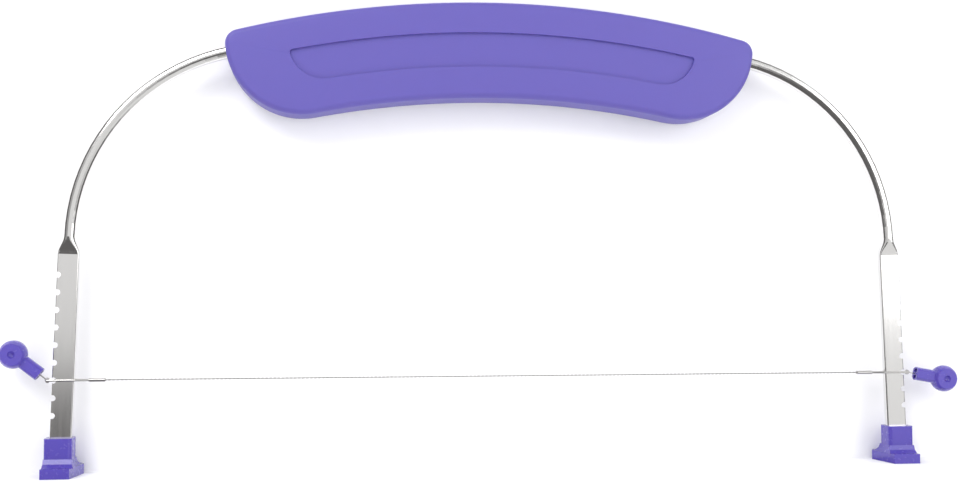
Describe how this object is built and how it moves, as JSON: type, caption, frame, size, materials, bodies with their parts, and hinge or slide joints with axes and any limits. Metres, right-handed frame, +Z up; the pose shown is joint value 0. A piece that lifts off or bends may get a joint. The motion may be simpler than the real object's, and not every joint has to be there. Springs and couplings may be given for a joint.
{
  "type": "cake leveler",
  "caption": "Cake leveler: bent steel bow with a curved plastic grip, notched legs on plastic feet and a height-adjustable cutting wire with knobs.",
  "frame": {"origin": "middle of the two soles' plane, midway between the legs, at the bottom of the bounding box", "axes": "+Z up from the soles to the grip, X along the wire, Y the depth; the pictured front faces -Y"},
  "size_m": [0.3424, 0.0174, 0.165],
  "materials": {
    "polished_steel": "polished",
    "wire_steel": "drawn wire",
    "grip_plastic": "satin",
    "foot_plastic": "gloss"
  },
  "bodies": {
    "bow": {"bow_frame": "polished_steel", "grip_front_shell": "grip_plastic", "grip_back_shell": "grip_plastic", "left_foot": "foot_plastic", "right_foot": "foot_plastic"},
    "wire": {"cutting_wire": "wire_steel", "left_crimp_sleeve": "wire_steel", "right_crimp_sleeve": "wire_steel", "left_wire_loop": "wire_steel", "right_wire_loop": "wire_steel"},
    "knob_left": {"left_knob": "foot_plastic", "left_knob_shank": "wire_steel"},
    "knob_right": {"right_knob": "foot_plastic", "right_knob_shank": "wire_steel"}
  },
  "joints": [
    {"name": "wire_height", "type": "slide", "parent": "bow", "child": "wire", "axis": [0, 0, 1], "range_m": [-0.012, 0.036]},
    {"name": "left_knob_swivel", "type": "hinge", "parent": "wire", "child": "knob_left", "pos_m": [-0.15361, 0, 0.0325], "axis": [0, 1, 0], "range_deg": [-98, 22]},
    {"name": "right_knob_swivel", "type": "hinge", "parent": "wire", "child": "knob_right", "pos_m": [0.15361, 0, 0.0325], "axis": [0, -1, 0], "range_deg": [-50, 70]}
  ]
}
